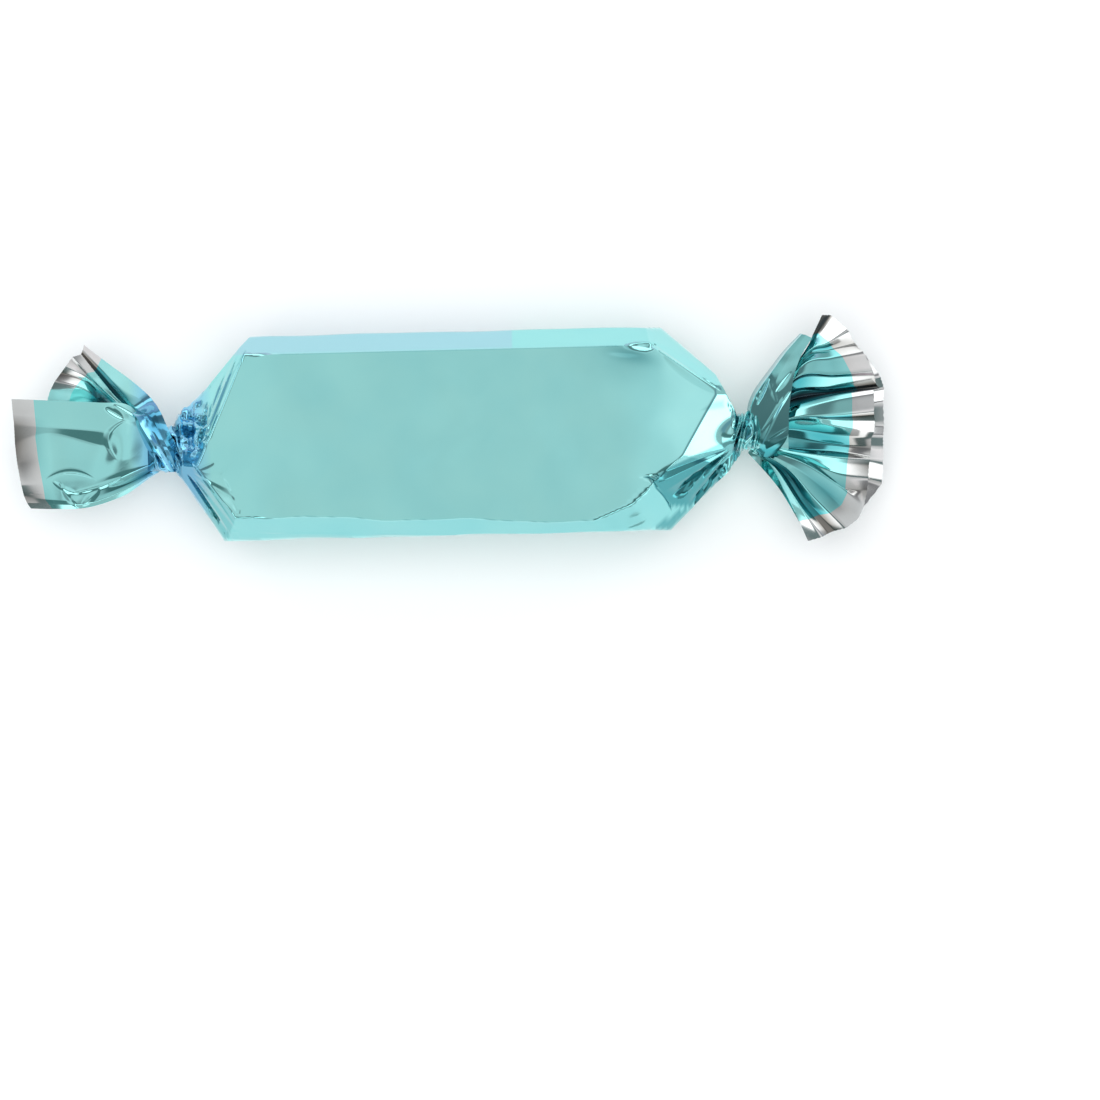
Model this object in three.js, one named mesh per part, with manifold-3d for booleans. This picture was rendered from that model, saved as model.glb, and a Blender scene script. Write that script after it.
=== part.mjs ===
// A caramel bar in a twist wrapper of metallised film, lying on its flat back.
// Millimetres. +X runs along the bar, +Y across it, +Z up. The origin is under the middle of the whole.
import * as THREE from "three";
import Module from "manifold-3d";

const wasm = await Module();
wasm.setup();

// The wrapped bar.
const THICKNESS = 12;
const HALF_WIDTH = 10.65;
const BAND_DROP = 2.4; // height of the sloping bands along the long edges
const BAND_WIDTH = 2.0;
const BAR_END = 21.4; // where the bar stops and the film starts to gather
const MIDDLE = [0.34, 0.29]; // the bar's middle from the origin, as the two tails differ

// The twists.
const KNOT_HEIGHT = 7;
const KNOT_HALF_WIDTH = 2.45;
const KNOT_HALF_DEPTH = 2.2;
const LEFT_KNOT = { start: -28.8, end: -31.2, y: -0.95, strands: 4, pitch: -0.8, tailEnd: -33.6 };
const RIGHT_KNOT = { start: 29.7, end: 32.1, y: -0.25, strands: 4, pitch: 0.8, tailEnd: 35.2 };
const ROPE_DEPTH = 0.22;
const FLARE_HALF_WIDTH = 3.0;
const FLARE_HALF_DEPTH = 0.55;

// The gathered film between the bar and each twist.
const PLEATS = 15;
const PLEAT_DEPTH = 0.42;
const FOLD_SHARPNESS = 26; // the higher, the crisper the folds

// The tails.
const SHEET = 0.5; // thickness that stands for the film's folded layers
const FAN_HUB = [34.5, 0];
const FAN_RADIUS = 12.2;
const FAN_LOW = -79 * THREE.MathUtils.DEG2RAD;
const FAN_HIGH = 69 * THREE.MathUtils.DEG2RAD;
const FRONT_FAN = { pleats: 9, depth: 0.75, rise: 2.6, short: 2.6, phase: 0, inset: 0 };
const WING_FOLDS = { count: 2.5, depth: 0.7 };
const PANEL_STEP = 0.5;
const BACK_FAN = { pleats: 8, depth: 0.6, rise: -3.4, short: 1.3, phase: 0.5, inset: 0.035 };

const vector = (x, y, z) => new THREE.Vector3(x, y, z);
const lerp = THREE.MathUtils.lerp;
const smooth = (from, to, x) => THREE.MathUtils.smoothstep(x, Math.min(from, to), Math.max(from, to));

// A wave from -1 to 1 with straight flanks and sharp folds.
function zigzag(x) {
  return 1 - 4 * Math.abs(x - Math.floor(x) - 0.5);
}

// A smooth curve through a few points of [x, y, z].
function curve(points) {
  return new THREE.CatmullRomCurve3(points.map((p) => vector(...p)));
}

// A closed solid from its vertices and triangles.
function solid(vertices, triangles) {
  const mesh = new wasm.Mesh({
    numProp: 3,
    vertProperties: new Float32Array(vertices.flatMap((p) => [p.x, p.y, p.z])),
    triVerts: new Uint32Array(triangles.flat()),
  });
  return new wasm.Manifold(mesh);
}

// A loft through closed rings of equally many points, with a flat fan of triangles on each end.
function loft(rings) {
  const count = rings[0].length;
  const vertices = rings.flat();
  const triangles = [];
  for (let i = 0; i + 1 < rings.length; i++)
    for (let j = 0; j < count; j++) {
      const here = i * count + j;
      const beside = i * count + ((j + 1) % count);
      triangles.push([here, beside, beside + count], [here, beside + count, here + count]);
    }
  for (const [ring, turned] of [[0, true], [rings.length - 1, false]]) {
    const middle = vertices.length;
    vertices.push(rings[ring].reduce((sum, p) => sum.add(p), vector(0, 0, 0)).divideScalar(count));
    for (let j = 0; j < count; j++) {
      const here = ring * count + j;
      const beside = ring * count + ((j + 1) % count);
      triangles.push(turned ? [middle, beside, here] : [middle, here, beside]);
    }
  }
  return solid(vertices, triangles);
}

// A thin sheet from a function of two numbers from 0 to 1, the second turning left of the first seen from above.
// It is as thick straight up everywhere.
function sheet(pointAt, rows, columns) {
  const lower = [];
  for (let i = 0; i <= rows; i++)
    for (let j = 0; j <= columns; j++) {
      const p = pointAt(i / rows, j / columns);
      lower.push(vector(p.x, p.y, p.z - SHEET / 2));
    }
  const upper = lower.map((p) => vector(p.x, p.y, p.z + SHEET));
  const size = lower.length;
  const at = (i, j) => i * (columns + 1) + j;
  const triangles = [];
  for (let i = 0; i < rows; i++)
    for (let j = 0; j < columns; j++) {
      const [a, b, c, d] = [at(i, j), at(i + 1, j), at(i + 1, j + 1), at(i, j + 1)];
      triangles.push([a, c, b], [a, d, c], [size + a, size + b, size + c], [size + a, size + c, size + d]);
    }
  const wall = (a, b) => triangles.push([a, b, size + b], [a, size + b, size + a]);
  for (let i = 0; i < rows; i++) {
    wall(at(i, 0), at(i + 1, 0));
    wall(at(i + 1, columns), at(i, columns));
  }
  for (let j = 0; j < columns; j++) {
    wall(at(rows, j), at(rows, j + 1));
    wall(at(0, j + 1), at(0, j));
  }
  return solid(lower.concat(upper), triangles);
}

// The planes that the film lies in round the bar, each through three of its fold corners.
const BODY_CENTRE = vector(0, 0, THICKNESS / 2);
function facet(...corners) {
  const plane = new THREE.Plane().setFromCoplanarPoints(...corners.map((p) => vector(...p)));
  return plane.distanceToPoint(BODY_CENTRE) > 0 ? plane.negate() : plane;
}

const EDGE = HALF_WIDTH - BAND_WIDTH;
const SHOULDER_TOP = THICKNESS - BAND_DROP;
const LOW = -0.12; // the lowest planes lie this far under the back, which is then pressed flat
const facets = [
  facet([0, 0, THICKNESS], [1, 0, THICKNESS], [0, 1, THICKNESS]), // front face
  facet([0, 0, LOW], [1, 0, LOW], [0, 1, LOW]), // back face
  facet([0, EDGE, THICKNESS], [1, EDGE, THICKNESS], [0, HALF_WIDTH, SHOULDER_TOP]), // far band
  facet([0, EDGE, LOW], [1, EDGE, LOW], [0, HALF_WIDTH, BAND_DROP]),
  facet([-22.7, -8.2, THICKNESS], [14.7, -9.6, THICKNESS], [0, -HALF_WIDTH, SHOULDER_TOP]), // near band
  facet([0, -EDGE, LOW], [1, -EDGE, LOW], [0, -HALF_WIDTH, BAND_DROP]),
  facet([0, HALF_WIDTH, 0], [1, HALF_WIDTH, 0], [0, HALF_WIDTH, 1]), // far side
  facet([0, -HALF_WIDTH, 0], [1, -HALF_WIDTH, 0], [0, -HALF_WIDTH, 1]), // near side
  // left shoulder: front, upper and lower slopes, their outlines, and the slopes of the back
  facet([-BAR_END, 0, THICKNESS], [-BAR_END, 1, THICKNESS], [-26.7, 0, 11.4]),
  facet([-BAR_END, 8.6, THICKNESS], [-26.7, -2.9, 11.4], [-25.8, 6.6, 8]),
  facet([-26.7, -2.9, 11.4], [-22.7, -8.2, THICKNESS], [-24.9, -9.5, 8]),
  facet([-21, 10.6, 0], [-27.4, 3.5, 0], [-21, 10.6, 1]),
  facet([-28.8, -3.4, 0], [-24.7, -9.9, 0], [-28.8, -3.4, 1]),
  facet([-26.7, 0, 11.4], [-26.7, 1, 11.4], [-29.2, 0, 9.2]),
  facet([-BAR_END, 0, LOW], [-BAR_END, 1, LOW], [-28.8, 0, 4.6]),
  facet([-20.4, 8.6, LOW], [-26.4, 0, LOW + 3.2], [-25.8, 6.6, 4.4]),
  facet([-20.4, -8.4, LOW], [-26.4, -2, LOW + 3.2], [-24.9, -9.5, 4.2]),
  // right shoulder
  facet([BAR_END, 0, THICKNESS], [BAR_END, 1, THICKNESS], [27, 0, 11.4]),
  facet([BAR_END, 8.2, THICKNESS], [28.1, 4.2, 11], [24.7, 8.8, 8]),
  facet([26, 0.9, 11.6], [21.4, -7.2, THICKNESS], [26.8, -6.6, 7.6]),
  facet([22, 10.7, 0], [28.2, 5, 0], [22, 10.7, 1]),
  facet([22.6, -10.7, 0], [30.5, -2.6, 0], [22.6, -10.7, 1]),
  facet([27.7, 0, 11.2], [27.7, 1, 11.2], [30, 0, 9.2]),
  facet([BAR_END, 0, LOW], [BAR_END, 1, LOW], [29.7, 0, 4.6]),
  facet([20.4, 8.6, LOW], [26.4, 0, LOW + 3.2], [24.9, 8.4, 4.4]),
  facet([20.4, -8.4, LOW], [26.4, -2, LOW + 3.2], [25.4, -8.6, 4.2]),
];

// How far the film reaches from a point on the axis in a direction, with every fold slightly rounded.
function reach(centre, direction) {
  let sum = 0;
  for (const plane of facets) {
    const closing = plane.normal.dot(direction);
    const room = Math.max(-plane.distanceToPoint(centre), 0.05);
    if (closing > 0) sum += (closing / room) ** FOLD_SHARPNESS;
  }
  return sum ** (-1 / FOLD_SHARPNESS);
}

// The bar's cross-section as directions round the axis, closely spaced and with one at each fold.
function sectionDirections() {
  const corners = [
    [EDGE, THICKNESS], [-EDGE, THICKNESS], [-HALF_WIDTH, SHOULDER_TOP], [-HALF_WIDTH, BAND_DROP],
    [-EDGE, 0], [EDGE, 0], [HALF_WIDTH, BAND_DROP], [HALF_WIDTH, SHOULDER_TOP],
  ];
  const steps = [16, 2, 8, 2, 16, 2, 8, 2];
  return corners.flatMap(([y, z], i) => {
    const [nextY, nextZ] = corners[(i + 1) % corners.length];
    return Array.from({ length: steps[i] }, (_, k) => {
      const share = k / steps[i];
      return vector(0, lerp(y, nextY, share), lerp(z, nextZ, share) - THICKNESS / 2).normalize();
    });
  });
}

// The ring of film round the axis at one place along the bar, the twists and the roots of the tails.
function ring(x, directions) {
  const knot = x < 0 ? LEFT_KNOT : RIGHT_KNOT;
  const gathered = smooth(BAR_END - 3, Math.abs(knot.start), Math.abs(x));
  const centre = vector(x, knot.y * gathered, lerp(THICKNESS / 2, KNOT_HEIGHT, gathered));
  const flare = smooth(Math.abs(knot.end), Math.abs(knot.tailEnd), Math.abs(x));
  const halfWidth = lerp(KNOT_HALF_WIDTH, FLARE_HALF_WIDTH, flare);
  const halfDepth = lerp(KNOT_HALF_DEPTH, FLARE_HALF_DEPTH, flare);
  const wound = smooth(Math.abs(knot.start) - 1, Math.abs(knot.start), Math.abs(x)) * (1 - flare);
  return directions.map((direction) => {
    const turn = Math.atan2(direction.z, direction.y) / (2 * Math.PI);
    const neck = 1 / Math.hypot(direction.y / halfWidth, direction.z / halfDepth);
    const film = reach(centre, direction);
    const pleat = zigzag(PLEATS * (turn + 0.012 * Math.sin(6 * Math.PI * turn + 1)));
    const rope = zigzag(knot.strands * turn + knot.pitch * (x - knot.start));
    const soft = smooth(BAR_END + 0.5, Math.abs(knot.start), Math.abs(x)) * (1 - wound);
    const out =
      Math.hypot(film ** 3, neck ** 3) ** (1 / 3) + PLEAT_DEPTH * soft * pleat + ROPE_DEPTH * wound * rope;
    const p = centre.clone().addScaledVector(direction, out);
    return vector(p.x, p.y, Math.max(p.z, 0));
  });
}

// Places along the axis, close together where the film folds.
function stations() {
  const left = [-33.6, -32.8, -32, -31.5, -31.1, -30.7, -30.3, -29.9, -29.5, -29.1, -28.6, -28, -27.3, -26.6];
  const right = [26.6, 27.4, 28.2, 28.9, 29.5, 29.9, 30.3, 30.7, 31.1, 31.5, 31.9, 32.4, 33.2, 34.2, 35.2];
  const bar = [-25.7, -24.8, -23.9, -22.9, -21.9, -20.9, -18, 0, 18, 20.9, 21.9, 22.9, 23.9, 24.8, 25.7];
  return [...left, ...bar, ...right];
}

// One layer of the right tail: a round fan of film, pleated along its radii.
function fan(layer) {
  return sheet(
    (a, b) => {
      const angle = lerp(FAN_LOW + layer.inset, FAN_HIGH - layer.inset, b);
      const wave = zigzag(layer.pleats * b + layer.phase);
      const open = Math.sin(Math.PI * b);
      const radius = FAN_RADIUS - layer.short * open ** 3 + 0.25 * wave * open;
      const x = lerp(31.4, FAN_HUB[0] + radius * Math.cos(angle), a);
      const y = lerp(RIGHT_KNOT.y + 2.1 * Math.sin(angle), FAN_HUB[1] + radius * Math.sin(angle), a);
      const z = KNOT_HEIGHT + layer.rise * open * a + layer.depth * wave * a * smooth(0, 0.12, open);
      return vector(x, y, z);
    },
    8,
    4 * layer.pleats,
  );
}

// The strip of film that wraps the root of the right tail like a collar.
function collar() {
  const outer = curve([[31.2, -2.6, 6.6], [30.9, 2, 6.6], [32.1, 4.3, 6.8], [34.4, 7.5, 6.8], [36.7, 9.6, 6.8]]);
  const inner = curve([[32.6, -3.2, 8], [35.4, -0.8, 9.4], [35.7, 4.3, 9.5], [36.6, 6.9, 8.9], [37.9, 9.2, 8]]);
  return sheet(
    (a, b) => {
      const p = outer.getPoint(b).lerp(inner.getPoint(b), a);
      p.z += 0.9 * Math.sin(Math.PI * a);
      return p;
    },
    6,
    12,
  );
}

// The flat, square-cut lower part of the left tail, with the soft step that runs along it.
function panel() {
  const top = curve([
    [-30, 1.2, 7], [-32.5, 1.8, 7.3], [-34.2, 3.6, 7.7], [-39, 4.4, 8], [-43.9, 4.6, 8.2], [-46.3, 4.8, 8.3],
  ]);
  const bottom = curve([
    [-29.6, -3, 6.6], [-31.2, -3, 6.4], [-33.6, -5, 6.3], [-38.3, -6.6, 6.3], [-42.7, -6.9, 6.5], [-45, -6.6, 6.6],
  ]);
  return sheet(
    (a, b) => {
      const p = top.getPoint(a).lerp(bottom.getPoint(a), b);
      p.z -= PANEL_STEP * smooth(0.38, 0.5, b) * smooth(0.2, 0.5, a);
      return p;
    },
    14,
    12,
  );
}

// The part of the left tail that stands up behind the flat one, folded lengthwise.
function wing() {
  const right = curve([
    [-30, 1.2, 6.4], [-31.2, 3.6, 5.8], [-32.1, 5.2, 5.6], [-34.6, 7.2, 5.8], [-36.6, 8.8, 6], [-38.6, 10.4, 6.2],
  ]);
  const left = curve([
    [-30.5, -1, 6.2], [-32.6, 0, 5.4], [-35, 1.2, 4.6], [-37.5, 2, 4.4], [-40.5, 2.8, 4.4], [-42.9, 3.4, 4.5],
  ]);
  return sheet(
    (a, b) => {
      const p = right.getPoint(a).lerp(left.getPoint(a), b);
      p.z += WING_FOLDS.depth * a * zigzag(WING_FOLDS.count * b + 0.25);
      p.x -= WING_FOLDS.depth * a * Math.sin(Math.PI * b);
      return p;
    },
    10,
    10,
  );
}

// Joins the pieces of film and turns the result into a mesh.
function wrappedCandy() {
  const directions = sectionDirections();
  const body = loft(stations().map((x) => ring(x, directions)));
  const pieces = [fan(FRONT_FAN), fan(BACK_FAN), collar(), panel(), wing()];
  const whole = pieces.reduce((sum, piece) => sum.add(piece), body);
  // The outer surface alone, without the small hollows that the joining seals.
  const outer = whole.decompose().reduce((a, b) => (a.volume() > b.volume() ? a : b));
  const made = outer.getMesh();
  const geometry = new THREE.BufferGeometry();
  geometry.setAttribute("position", new THREE.BufferAttribute(made.vertProperties, 3));
  geometry.setIndex(new THREE.BufferAttribute(made.triVerts, 1));
  const film = new THREE.MeshStandardMaterial({ color: 0x8fd0cc, roughness: 0.15, metalness: 1 });
  const mesh = new THREE.Mesh(geometry, film);
  mesh.name = "wrapped_candy";
  mesh.position.set(MIDDLE[0], MIDDLE[1], 0);
  return mesh;
}

const group = new THREE.Group();
group.add(wrappedCandy());
export default group;
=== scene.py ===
"""A caramel bar in a twist wrapper of mirror-bright teal film, lying on a white table.

Lengths are in millimetres until a mesh is made. +X runs along the bar, +Y across it, +Z up.
"""

import math

import bpy
import numpy as np
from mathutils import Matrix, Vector


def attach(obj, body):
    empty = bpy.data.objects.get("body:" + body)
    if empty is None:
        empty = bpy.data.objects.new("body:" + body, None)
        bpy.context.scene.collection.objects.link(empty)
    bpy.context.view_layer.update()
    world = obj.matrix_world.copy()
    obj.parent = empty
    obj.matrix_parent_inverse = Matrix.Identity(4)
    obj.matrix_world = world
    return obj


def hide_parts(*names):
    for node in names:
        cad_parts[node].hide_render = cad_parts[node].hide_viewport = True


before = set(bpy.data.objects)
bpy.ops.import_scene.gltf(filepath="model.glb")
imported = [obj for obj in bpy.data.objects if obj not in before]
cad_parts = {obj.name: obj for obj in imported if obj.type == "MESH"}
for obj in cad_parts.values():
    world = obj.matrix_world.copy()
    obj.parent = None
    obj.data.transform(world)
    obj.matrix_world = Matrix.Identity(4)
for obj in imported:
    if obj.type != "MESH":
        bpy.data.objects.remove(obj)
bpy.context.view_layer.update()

MM = 0.001

# The wrapped bar.
THICKNESS = 12.0
HALF_WIDTH = 10.65
BAND_DROP = 2.4  # the bevelled bands along the long edges
BAND_WIDTH = 2.0
BAR_END = 21.4
EDGE = HALF_WIDTH - BAND_WIDTH
SHOULDER_TOP = THICKNESS - BAND_DROP
MIDDLE = np.array([0.34, 0.29])  # the bar's middle from the origin
CURVE_FROM = 17.5  # beyond this the front face curves down towards the twists
END_CURVE = 0.0068

# The twists.
GATHER = 3.0  # the film starts to close this far before the bar's end
KNOT_HEIGHT = 7.0
KNOT_HALF_DEPTH = 2.05
# each knot's last entry is painted shade laid over its wound film
LEFT_KNOT = {
    "start": -28.8, "end": -31.0, "y": -0.95, "strands": ((5, -0.5), (11, -1.3)), "tail": -32.6,
    "half_width": 2.2, "painted_tone": 0.1,
}
RIGHT_KNOT = {
    "start": 29.7, "end": 31.3, "y": -0.42, "strands": ((3, 0.9), (7, 2.0)), "tail": 33.4,
    "half_width": 1.9, "painted_tone": 0.22,
}
ROPE_DEPTH = 0.5  # from the strands' crests down to the grooves between them
ROPE_MEAN = 0.45
STRAND_SHARES = (0.62, 0.38)  # how much of the depth is the wide strands' and the fine ones'
# painted shade in the knots' grooves
GROOVE_SHADE = 1.5  # how dark a groove lies
KNOT_CRUMPLE = 0.18  # the small facets on a knot: height, number round it, size and seed
CRUMPLES_ROUND = 9
KNOT_FACET_SIZE = 2.3
KNOT_SEED = 5
NECK_BLEND = 6  # how sharply the shoulders turn into the necks
FLARE_HALF_WIDTH = 2.6  # where the twists open into the tails
FLARE_HALF_DEPTH = 0.4
FLARE_DROP = 0.6
PLEATS = 15  # on the twists' underside
FINE_PLEATS = 37
PLEAT_DEPTH = 0.42
BUNCH_AT = -28.6  # bunched film stands out beside the left twist
BUNCH_LENGTH = 0.8
BUNCH_HEIGHT = 1.1
BUNCH_TURN = 0.03  # where it stands round the axis, and how far it spreads, in turns
BUNCH_SPREAD = 0.07

# The film.
FILM = 0.07
MARGIN = 2.3  # the bare silver strip along a cut end
BACK_MARGIN = 3.2  # on the back fan, half hidden
SILVER_ROWS = 0.2  # the share of a tail's rows that lie in this strip
RAGGED = 0.25  # how unevenly a cut end runs, as a share of the last row
RAGGED_COLUMNS = 4
# the next three set the painted shade in a tail's folds
FOLD_HEIGHT = 1.6  # how far a tail's folds reach up and down
FOLD_REACH = 16  # how many steps of the grid away a fold's crest is looked for
FOLD_SHADE = 0.6  # how dark the bottom of such a fold lies
# painted shade in the shoulders' folds
DEEPEST = 0.8  # a fold on the shoulders this deep is as dark as they get
FOLD_SHARPNESS = 260  # between the shoulders' facets
BAR_SHARPER = 15  # how many times sharper the folds along the bar are
LEAST_ROOM = 0.05  # between the axis and a facet
# painted shade over the right tail
RIGHT_TAIL_SHADE = 0.1  # the right tail lies darker than the bar
SHARP_ANGLE = math.radians(50)  # mesh edges that bend further than this are shaded sharp

# Waves in the film: radians a millimetre along and across, phase and height.
FACE_WAVES = [(0.35, 0.5, 0, 0.022), (-0.21, 0.62, 1, 0.022), (0.23, -0.9, 2, 0.0132), (0.8, 0.3, 0.5, 0.011)]
SIDE_WAVES = [(0.33, 0.4, 0, 0.06), (0.71, -0.5, 1, 0.036)]
NEAR_EDGE_WAVES = [(0.42, 0, 1, 0.16), (1.05, 0, 0, 0.05)]

# The camera, and the photograph's frame that points below are given in.
FRAME_PIXELS = 1100
MM_PER_PIXEL = 0.105  # at the height of the twists
ROLL = math.radians(1.4)  # the candy lies this far anticlockwise in the frame
MIDDLE_PIXEL = (453, 434)
LENS = 180.0
SENSOR = 36.0
DISTANCE = FRAME_PIXELS * MM_PER_PIXEL * LENS / SENSOR  # from the twists' height up to the camera


# ---- places and curves


def on_level(px, py):
    """The place at the twists' height that a pixel of the frame shows."""
    right = px - MIDDLE_PIXEL[0]
    down = py - MIDDLE_PIXEL[1]
    x = MM_PER_PIXEL * (right * math.cos(ROLL) - down * math.sin(ROLL))
    y = MM_PER_PIXEL * (-right * math.sin(ROLL) - down * math.cos(ROLL))
    return np.array([x, y]) + MIDDLE


CAMERA_OVER = on_level(FRAME_PIXELS / 2, FRAME_PIXELS / 2)


def place(px, py, z):
    """The point at height z that a pixel of the frame shows."""
    level = on_level(px, py)
    nearer = (z - KNOT_HEIGHT) / DISTANCE
    return np.array([*(level + (CAMERA_OVER - level) * nearer), z])


def fold_points(fold):
    """The places of a fold's points, each with its painted shade: 0 in the open, 1 deep, 2 black."""
    return np.array([(*place(*p[:3]), p[3] if len(p) > 3 else 0) for p in fold])


def smooth(low, high, x):
    """Rises gently from 0 at the low value to 1 at the high one."""
    share = np.clip((np.asarray(x, float) - low) / (high - low), 0, 1)
    return share * share * (3 - 2 * share)


def zigzag(x):
    """A wave from -1 to 1 with straight flanks and sharp folds."""
    return 1 - 4 * np.abs(x - np.floor(x) - 0.5)


def waves(terms, along, across):
    """A sum of sine waves, given as in FACE_WAVES."""
    return sum(height * np.sin(a * along + b * across + phase) for a, b, phase, height in terms)


def stretch(points, shares):
    """The row of points before each share from 0 to 1, and how far it is on from there to the next."""
    t = np.asarray(shares) * (len(points) - 1)
    i = np.clip(np.floor(t).astype(int), 0, len(points) - 2)
    return i, (t - i).reshape(-1, *[1] * (points.ndim - 1))


def straight(points, shares):
    """A polyline through the rows of points, at shares of the way."""
    i, f = stretch(points, shares)
    return points[i] * (1 - f) + points[i + 1] * f


def spline(points, shares):
    """A smooth curve through the rows of points, at shares of the way."""
    i, f = stretch(points, shares)
    before, here = points[np.maximum(i - 1, 0)], points[i]
    there, after = points[i + 1], points[np.minimum(i + 2, len(points) - 1)]
    bend = 2 * before - 5 * here + 4 * there - after
    return here + 0.5 * f * ((there - before) + f * (bend + f * (3 * (here - there) + after - before)))


def along_curve(points, lengths):
    """The smooth curve through the points, at shares of its length, and that length."""
    fine = spline(points, np.linspace(0, 1, 60 * len(points)))
    run = np.concatenate([[0], np.cumsum(np.linalg.norm(np.diff(fine[:, :3], axis=0), axis=1))])
    columns = [np.interp(lengths * run[-1], run, column) for column in fine.T]
    return np.stack(columns, axis=1), run[-1]


def soften(grid, times):
    """Rounds the folds that run along the rows' direction."""
    for _ in range(times):
        grid[:, 1:-1] = (grid[:, :-2] + 2 * grid[:, 1:-1] + grid[:, 2:]) / 4
    return grid


# ---- relief on a grid of points


class Relief:
    """Folds and dents pressed into a grid of points, at pixels of the photograph's frame."""

    def __init__(self, grid, level, where=1.0):
        self.grid = grid
        self.level = level  # the grid's height where it is seen
        self.where = where  # one where the relief applies, zero elsewhere

    def spot(self, px, py):
        return place(px, py, self.level)[:2]

    def crease(self, start, end, width, height, right_width=None, bow=0.0):
        """A sharp ridge, or with a negative height a valley, along a line that may bow out to its left."""
        a, b = self.spot(*start), self.spot(*end)
        along = (b - a) / np.hypot(*(b - a))
        offset = self.grid[..., :2] - a
        share = (offset @ along) / np.hypot(*(b - a))
        left = offset @ np.array([-along[1], along[0]]) - 4 * bow * share * (1 - share)
        taper = np.sqrt(np.clip(4 * share * (1 - share), 0.001, 1))
        distance = np.where(left > 0, left / width, -left / (right_width or width)) / taper
        self.grid[..., 2] += self.where * height * taper * np.clip(1 - distance, 0, 1) ** 1.2

    def dent(self, centre, half_length, half_width, turn, height):
        """An oval bump or hollow, its long side turned anticlockwise from the frame's right."""
        offset = self.grid[..., :2] - self.spot(*centre)
        angle = math.radians(turn) - ROLL
        along = offset @ np.array([math.cos(angle), math.sin(angle)])
        across = offset @ np.array([-math.sin(angle), math.cos(angle)])
        oval = np.exp(-((along / half_length) ** 2) - (across / half_width) ** 2)
        self.grid[..., 2] += self.where * height * oval

    def radial_folds(self, centre, folds, flat_until=0.7):
        """Folds that run out from one point, each given by its far end and its height."""
        origin = self.spot(*centre)
        ends = np.array([self.spot(px, py) for px, py, _ in folds]) - origin
        heights = np.array([height for _, _, height in folds])
        middle = ends.mean(axis=0) / np.linalg.norm(ends.mean(axis=0))
        turned = np.array([-middle[1], middle[0]])
        angles = np.arctan2(ends @ turned, ends @ middle)
        order = np.argsort(angles)
        offset = self.grid[..., :2] - origin
        angle = np.arctan2(offset @ turned, offset @ middle)
        height = np.interp(angle, angles[order], heights[order], left=0, right=0)
        length = np.interp(angle, angles[order], np.hypot(ends[:, 0], ends[:, 1])[order])
        share = np.hypot(offset[..., 0], offset[..., 1]) / length
        profile = smooth(0.05, 0.35, share) * (1 - smooth(flat_until, 1, share))
        self.grid[..., 2] += self.where * height * profile

    def crumple(self, centre, half_length, half_width, size, height, seed):
        """Small flat facets that meet in sharp folds, within an oval."""
        x, y = self.grid[..., 0], self.grid[..., 1]
        middle = self.spot(*centre)
        radius = ((x - middle[0]) / half_length) ** 2 + ((y - middle[1]) / half_width) ** 2
        self.grid[..., 2] += self.where * np.exp(-(radius**2)) * height * crumple(x, y, size, seed)


def highest_near(z, steps):
    """The greatest height within so many steps on the grid."""
    for _ in range(steps):
        wide = np.pad(z, 1, mode="edge")
        above, below, before, after = wide[:-2, 1:-1], wide[2:, 1:-1], wide[1:-1, :-2], wide[1:-1, 2:]
        z = np.maximum.reduce([z, above, below, before, after])
    return z


def crumple(x, y, size, seed):
    """A pattern of small flat facets, from -1 to 1."""
    draw = np.random.default_rng(seed)
    total = np.zeros_like(x)
    for _ in range(5):
        angle = draw.uniform(0, math.pi)
        period = size * draw.uniform(0.7, 1.6)
        shift = draw.uniform(0, 1)
        total += zigzag((x * math.cos(angle) + y * math.sin(angle)) / period + shift)
    return total / 5


# ---- meshes


def add_mesh(name, vertices, quads, materials, slots=None, painted_shade=None):
    """Makes an object, with the painted shade at each point, as in fold_points."""
    mesh = bpy.data.meshes.new(name)
    mesh.from_pydata((vertices * MM).tolist(), [], quads.tolist())
    if painted_shade is not None:
        mesh.attributes.new("painted_shade", "FLOAT", "POINT").data.foreach_set("value", painted_shade.astype(np.float32))
    for material in materials:
        mesh.materials.append(material)
    if slots is not None:
        mesh.polygons.foreach_set("material_index", slots.astype(np.int32))
    mesh.shade_smooth()
    mesh.set_sharp_from_angle(angle=SHARP_ANGLE)
    thing = bpy.data.objects.new(name, mesh)
    bpy.context.scene.collection.objects.link(thing)
    return thing


def quads_between(first, second, third, fourth):
    """One quad for each set of four corner numbers."""
    return np.stack([first, second, third, fourth], axis=-1).reshape(-1, 4)


def sheet_quads(rows, columns):
    """The quads of a closed sheet: its upper and lower face, both long sides and both ends."""
    upper = np.arange(rows * columns).reshape(rows, columns)
    lower = upper + rows * columns
    return [
        quads_between(upper[:-1, :-1], upper[1:, :-1], upper[1:, 1:], upper[:-1, 1:]),
        quads_between(lower[:-1, :-1], lower[:-1, 1:], lower[1:, 1:], lower[1:, :-1]),
        quads_between(upper[:-1, 0], lower[:-1, 0], lower[1:, 0], upper[1:, 0]),
        quads_between(upper[1:, -1], lower[1:, -1], lower[:-1, -1], upper[:-1, -1]),
        quads_between(upper[-1, :-1], lower[-1, :-1], lower[-1, 1:], upper[-1, 1:]),
        quads_between(upper[0, 1:], lower[0, 1:], lower[0, :-1], upper[0, :-1]),
    ]


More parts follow.
